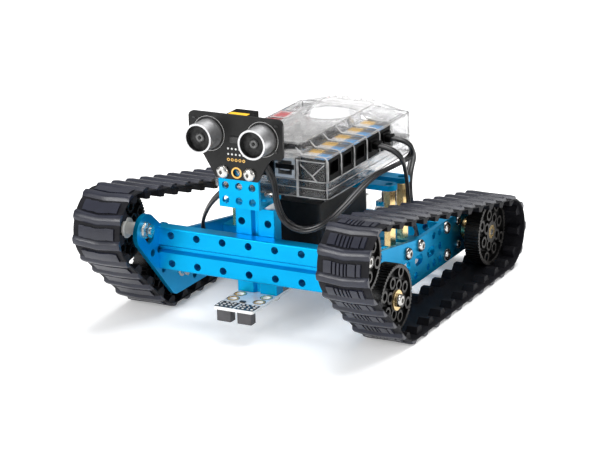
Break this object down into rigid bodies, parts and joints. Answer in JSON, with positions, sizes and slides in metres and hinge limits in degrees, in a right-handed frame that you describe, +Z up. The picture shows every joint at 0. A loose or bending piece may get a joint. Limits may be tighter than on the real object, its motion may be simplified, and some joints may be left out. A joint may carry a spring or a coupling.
{
  "type": "tracked robot",
  "caption": "Tracked educational robot: blue beam chassis, toothed pulleys in rubber tracks, twin-cone distance sensor, line sensor board and clear controller case.",
  "frame": {"origin": "on the ground, midway between the ends of the tracks and between the two tracks", "axes": "-Y is the robot's front, where the distance sensor looks; +X is the side of the right-hand track seen from the front; +Z is up"},
  "size_m": [0.177, 0.2082, 0.124],
  "materials": {
    "anodised_blue": "satin blue anodised aluminium",
    "rubber_track": "matt dark rubber with a slight sheen",
    "black_plastic": "black moulded plastic",
    "pulley_plastic": "black moulded plastic, grey on worn edges",
    "steel_screw": "nickel plated steel",
    "brass": "turned brass",
    "nylon": "natural nylon",
    "motor_steel": "bright plated steel can",
    "sensor_board_black": "black solder mask",
    "line_board_white": "white solder mask",
    "transducer_metal": "satin aluminium can",
    "eye_grey": "dark grey plastic",
    "clear_plastic": "clear polycarbonate",
    "board_black": "black solder mask with parts",
    "socket_black": "black moulded plastic",
    "plug_metal": "plated sheet steel",
    "cell_wrap": "plain printed sleeve",
    "cable_black": "black flexible sheath",
    "button_white": "white plastic"
  },
  "bodies": {
    "chassis": {"axle_nuts": "steel_screw", "axle_screws": "steel_screw", "axle_spacers": "nylon", "battery_box": "black_plastic", "battery_cells": "cell_wrap", "battery_lead": "cable_black", "beam_screws": "steel_screw", "bracket_spacers": "nylon", "case_base": "clear_plastic", "case_lid": "clear_plastic", "case_rails": "anodised_blue", "control_board": "board_black", "distance_sensor_board": "sensor_board_black", "distance_sensor_cable": "cable_black", "distance_sensor_socket": "socket_black", "front_beam": "anodised_blue", "line_sensor_board": "line_board_white", "line_sensor_cable": "cable_black", "line_sensor_eyes": "eye_grey", "line_sensor_socket": "socket_black", "middle_beam": "anodised_blue", "motor_cable": "cable_black", "motor_can_left": "motor_steel", "motor_can_right": "motor_steel", "motor_gearbox_left": "black_plastic", "motor_gearbox_right": "black_plastic", "motor_screws": "steel_screw", "port_sockets": "socket_black", "power_jack": "socket_black", "power_switch": "plug_metal", "rear_beam": "anodised_blue", "sensor_beam": "anodised_blue", "sensor_bracket": "anodised_blue", "sensor_screws": "steel_screw", "side_plate_left": "anodised_blue", "side_plate_right": "anodised_blue", "standoff_screws": "steel_screw", "standoffs": "brass", "track_left": "rubber_track", "track_right": "rubber_track", "transducer_left": "transducer_metal", "transducer_right": "transducer_metal", "usb_socket": "plug_metal"},
    "upper_idler_left": {"upper_pulley_left": "pulley_plastic", "upper_bushings_left": "nylon"},
    "lower_idler_left": {"lower_pulley_left": "pulley_plastic", "lower_bushings_left": "brass"},
    "drive_left": {"drive_pulley_left": "pulley_plastic", "drive_hub_left": "brass", "motor_shaft_left": "steel_screw"},
    "upper_idler_right": {"upper_pulley_right": "pulley_plastic", "upper_bushings_right": "nylon"},
    "lower_idler_right": {"lower_pulley_right": "pulley_plastic", "lower_bushings_right": "brass"},
    "drive_right": {"drive_pulley_right": "pulley_plastic", "drive_hub_right": "brass", "motor_shaft_right": "steel_screw"},
    "power_slider": {"switch_lever": "socket_black"},
    "reset_cap": {"reset_button": "button_white"}
  },
  "joints": [
    {"name": "drive_spin_right", "type": "hinge", "parent": "chassis", "child": "drive_right", "pos_m": [0.0718, 0.0818, 0.0224], "axis": [1, 0, 0], "continuous": true},
    {"name": "upper_idler_spin_right", "type": "hinge", "parent": "chassis", "child": "upper_idler_right", "pos_m": [0.0718, -0.0818, 0.0552], "axis": [1, 0, 0], "continuous": true},
    {"name": "lower_idler_spin_right", "type": "hinge", "parent": "chassis", "child": "lower_idler_right", "pos_m": [0.0718, -0.0454, 0.0224], "axis": [1, 0, 0], "continuous": true},
    {"name": "drive_spin_left", "type": "hinge", "parent": "chassis", "child": "drive_left", "pos_m": [-0.0718, 0.0818, 0.0224], "axis": [1, 0, 0], "continuous": true},
    {"name": "upper_idler_spin_left", "type": "hinge", "parent": "chassis", "child": "upper_idler_left", "pos_m": [-0.0718, -0.0818, 0.0552], "axis": [1, 0, 0], "continuous": true},
    {"name": "lower_idler_spin_left", "type": "hinge", "parent": "chassis", "child": "lower_idler_left", "pos_m": [-0.0718, -0.0454, 0.0224], "axis": [1, 0, 0], "continuous": true},
    {"name": "power_slide", "type": "slide", "parent": "chassis", "child": "power_slider", "axis": [1, 0, 0], "range_m": [0, 0.0026]},
    {"name": "reset_press", "type": "slide", "parent": "chassis", "child": "reset_cap", "axis": [0, 0, -1], "range_m": [0, 0.0003], "stiffness_N_per_m": 400, "springref_m": -0.0002}
  ],
  "couplings": [
    {"joint": "upper_idler_spin_right", "follows": "drive_spin_right", "ratio": 1},
    {"joint": "lower_idler_spin_right", "follows": "drive_spin_right", "ratio": 1},
    {"joint": "upper_idler_spin_left", "follows": "drive_spin_left", "ratio": 1},
    {"joint": "lower_idler_spin_left", "follows": "drive_spin_left", "ratio": 1}
  ]
}
